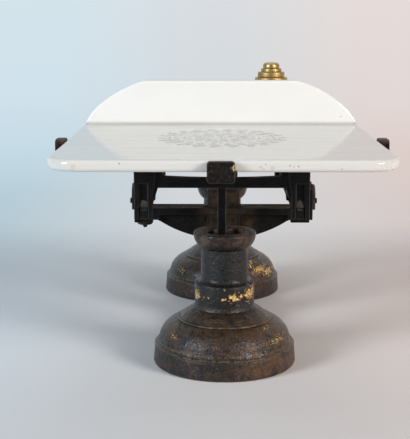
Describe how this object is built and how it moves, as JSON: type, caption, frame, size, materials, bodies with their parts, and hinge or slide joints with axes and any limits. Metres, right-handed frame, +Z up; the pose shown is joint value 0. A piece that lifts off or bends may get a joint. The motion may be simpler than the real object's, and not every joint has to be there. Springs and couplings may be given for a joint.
{
  "type": "counter scale",
  "caption": "Counter scale with a flat glazed goods plate and a round weights pan on a rocking beam, kept level by a check link in bell-shaped cast feet.",
  "frame": {"origin": "on the counter, straight under the middle pivot of the beam", "axes": "+X to the right as seen from the goods side, +Y from the goods side to the weights side, +Z up"},
  "size_m": [0.3272, 0.5648, 0.2881],
  "materials": {
    "black_iron": "worn black paint with brown rust",
    "rusted_iron": "rusted",
    "steel": "dull and lightly rusted",
    "brass": "aged polish",
    "ironstone": "white glazed ironstone"
  },
  "bodies": {
    "base": {"near_pedestal": "black_iron", "far_pedestal": "black_iron", "tunnel": "black_iron", "near_screws": "steel", "far_screws": "steel", "centre_foot": "black_iron", "foot_rivets": "steel", "link_pin": "steel", "stand": "black_iron", "stand_screws": "steel", "bearing_left": "steel", "bearing_right": "steel", "cover_left": "rusted_iron", "cover_right": "rusted_iron", "cover_screws_left": "steel", "cover_screws_right": "steel"},
    "beam": {"beam": "black_iron", "fulcrum_knife_left": "steel", "fulcrum_knife_right": "steel", "goods_knife_left": "steel", "goods_knife_right": "steel", "weights_knife_left": "steel", "weights_knife_right": "steel", "balance_box": "black_iron", "balance_plug": "brass"},
    "goods_bearer": {"goods_spider": "black_iron", "goods_yoke": "black_iron", "goods_yoke_bolts": "steel", "goods_steels_left": "steel", "goods_steels_right": "steel", "goods_stay": "black_iron", "goods_stay_pin": "steel"},
    "weights_bearer": {"weights_spider": "black_iron", "weights_yoke": "black_iron", "weights_yoke_bolts": "steel", "weights_steels_left": "steel", "weights_steels_right": "steel", "weights_stay": "black_iron", "weights_stay_pin": "steel"},
    "check_link": {"check_link": "black_iron"},
    "goods_plate": {"goods_plate": "ironstone"},
    "weights_pan": {"weights_pan": "black_iron"},
    "weight_2lb": {"weight_2lb": "brass"},
    "weight_1lb": {"weight_1lb": "brass"},
    "weight_8oz": {"weight_8oz": "brass"},
    "weight_4oz": {"weight_4oz": "brass"},
    "weight_2oz": {"weight_2oz": "brass"},
    "weight_1oz": {"weight_1oz": "brass"},
    "weight_half_oz": {"weight_half_oz": "brass"}
  },
  "joints": [
    {"name": "beam_rock", "type": "hinge", "parent": "base", "child": "beam", "pos_m": [0, 0, 0.152], "axis": [1, 0, 0], "range_deg": [-3, 3]},
    {"name": "goods_level", "type": "hinge", "parent": "beam", "child": "goods_bearer", "pos_m": [0, -0.1425, 0.152], "axis": [1, 0, 0], "range_deg": [-3, 3]},
    {"name": "weights_level", "type": "hinge", "parent": "beam", "child": "weights_bearer", "pos_m": [0, 0.1425, 0.152], "axis": [1, 0, 0], "range_deg": [-3, 3]},
    {"name": "link_rock", "type": "hinge", "parent": "base", "child": "check_link", "pos_m": [0, 0, 0.015], "axis": [1, 0, 0], "range_deg": [-3, 3]},
    {"name": "plate_lift", "type": "slide", "parent": "goods_bearer", "child": "goods_plate", "axis": [0, 0, 1], "range_m": [0, 0.06]},
    {"name": "pan_lift", "type": "slide", "parent": "weights_bearer", "child": "weights_pan", "axis": [0, 0, 1], "range_m": [0, 0.04]},
    {"name": "weight_2lb_lift", "type": "slide", "parent": "weights_pan", "child": "weight_2lb", "axis": [0, 0, 1], "range_m": [0, 0.015]},
    {"name": "weight_1lb_lift", "type": "slide", "parent": "weight_2lb", "child": "weight_1lb", "axis": [0, 0, 1], "range_m": [0, 0.015]},
    {"name": "weight_8oz_lift", "type": "slide", "parent": "weight_1lb", "child": "weight_8oz", "axis": [0, 0, 1], "range_m": [0, 0.015]},
    {"name": "weight_4oz_lift", "type": "slide", "parent": "weight_8oz", "child": "weight_4oz", "axis": [0, 0, 1], "range_m": [0, 0.015]},
    {"name": "weight_2oz_lift", "type": "slide", "parent": "weight_4oz", "child": "weight_2oz", "axis": [0, 0, 1], "range_m": [0, 0.015]},
    {"name": "weight_1oz_lift", "type": "slide", "parent": "weight_2oz", "child": "weight_1oz", "axis": [0, 0, 1], "range_m": [0, 0.015]},
    {"name": "weight_half_oz_lift", "type": "slide", "parent": "weight_1oz", "child": "weight_half_oz", "axis": [0, 0, 1], "range_m": [0, 0.015]}
  ],
  "couplings": [
    {"joint": "goods_level", "follows": "beam_rock", "ratio": -1},
    {"joint": "weights_level", "follows": "beam_rock", "ratio": -1},
    {"joint": "link_rock", "follows": "beam_rock", "ratio": 1}
  ]
}
